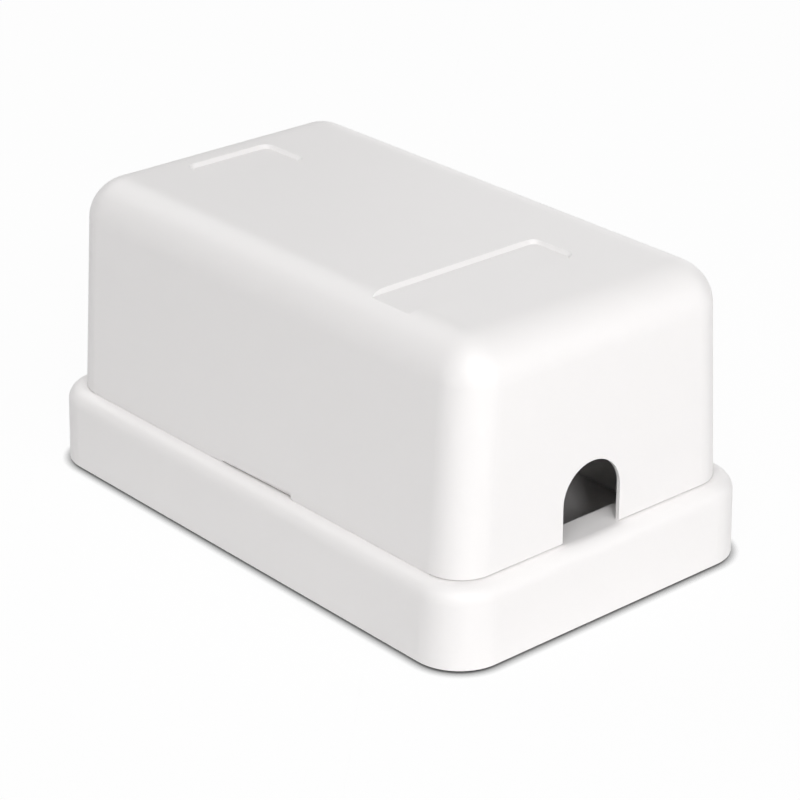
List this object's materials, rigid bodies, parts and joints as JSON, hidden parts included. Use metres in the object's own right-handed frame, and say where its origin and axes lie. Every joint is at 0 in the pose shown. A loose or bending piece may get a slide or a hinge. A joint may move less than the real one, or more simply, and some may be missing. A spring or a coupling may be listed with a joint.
{
  "type": "surface mount jack box",
  "caption": "White two-part surface mount box with a clip-fitting cover, a cable entry arch and one snap-in data jack.",
  "frame": {"origin": "middle of the mounting surface, under the middle of the box", "axes": "+Z away from the mounting surface, +Y along the length towards the plug port, +X across, to the right seen from the cable entry"},
  "size_m": [0.0406, 0.065, 0.0318],
  "materials": {
    "white_abs": "satin white ABS",
    "jack_plastic": "satin black",
    "comb_plastic": "satin dark grey",
    "terminal_plastic": "satin ivory",
    "cap_plastic": "satin dark grey",
    "board": "green solder mask",
    "gold_plate": "gold plated",
    "tin_plate": "tin plated",
    "foam": "white foam tape",
    "liner": "siliconed release paper"
  },
  "bodies": {
    "housing": {"base": "white_abs", "jack_housing": "jack_plastic", "contact_comb": "comb_plastic", "circuit_board": "board", "terminal_block": "terminal_plastic", "foam_pad_front": "foam", "foam_pad_rear": "foam", "release_liner_front": "liner", "release_liner_rear": "liner", "port_contact_1": "gold_plate", "port_contact_2": "gold_plate", "port_contact_3": "gold_plate", "port_contact_4": "gold_plate", "port_contact_5": "gold_plate", "port_contact_6": "gold_plate", "port_contact_7": "gold_plate", "port_contact_8": "gold_plate", "terminal_blade_1": "tin_plate", "terminal_blade_2": "tin_plate", "terminal_blade_3": "tin_plate", "terminal_blade_4": "tin_plate", "terminal_blade_5": "tin_plate", "terminal_blade_6": "tin_plate", "terminal_blade_7": "tin_plate", "terminal_blade_8": "tin_plate"},
    "cover": {"cover": "white_abs"},
    "wire_cap": {"wire_cap": "cap_plastic"}
  },
  "joints": [
    {"name": "cover_lift", "type": "slide", "parent": "housing", "child": "cover", "axis": [0, 0, 1], "range_m": [0, 0.03]},
    {"name": "cap_pull", "type": "slide", "parent": "housing", "child": "wire_cap", "axis": [0, -1, 0], "range_m": [0, 0.01]}
  ]
}
